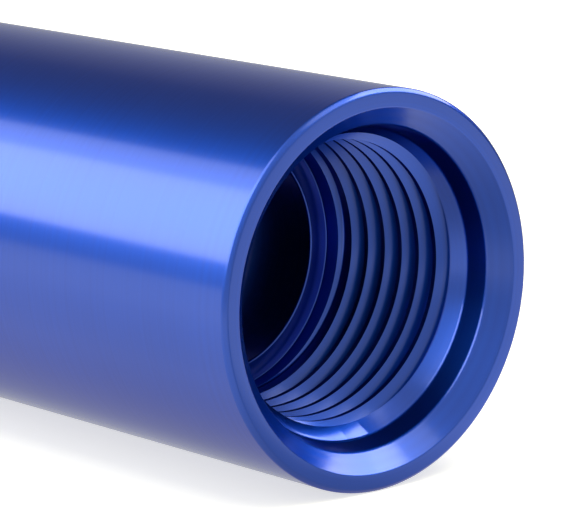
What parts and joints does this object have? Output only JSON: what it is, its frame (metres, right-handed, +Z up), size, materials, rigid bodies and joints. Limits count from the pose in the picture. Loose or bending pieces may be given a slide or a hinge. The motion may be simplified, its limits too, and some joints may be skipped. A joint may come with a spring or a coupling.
{
  "type": "inline fuel filter",
  "caption": "Slim tubular inline fuel filter in blue anodised aluminium, with an O-ring boss port in each end and a pleated element inside.",
  "frame": {"origin": "centre of the outlet end face, on the filter's axis", "axes": "+X along the axis the way the fuel flows, out of the outlet port; +Z up; the spanner flats face +Z and -Z"},
  "size_m": [0.122, 0.0286, 0.0286],
  "materials": {
    "blue_anodised": "satin blue anodised, turned",
    "plain_aluminium": "clear, turned",
    "black_rubber": "smooth",
    "potting_resin": "cast resin",
    "stainless_steel": "rolled sheet",
    "steel_cloth": "fine woven wire cloth",
    "spring_steel": "drawn wire"
  },
  "bodies": {
    "root": {"housing": "blue_anodised", "inlet_cap": "blue_anodised", "cap_o_ring": "black_rubber", "element_outlet_cap": "plain_aluminium", "element_gasket": "black_rubber", "element_closed_cap": "plain_aluminium", "outlet_potting": "potting_resin", "closed_potting": "potting_resin", "core_tube": "stainless_steel", "pleated_media": "steel_cloth", "seam_clip": "stainless_steel", "spring": "spring_steel"}
  },
  "joints": []
}
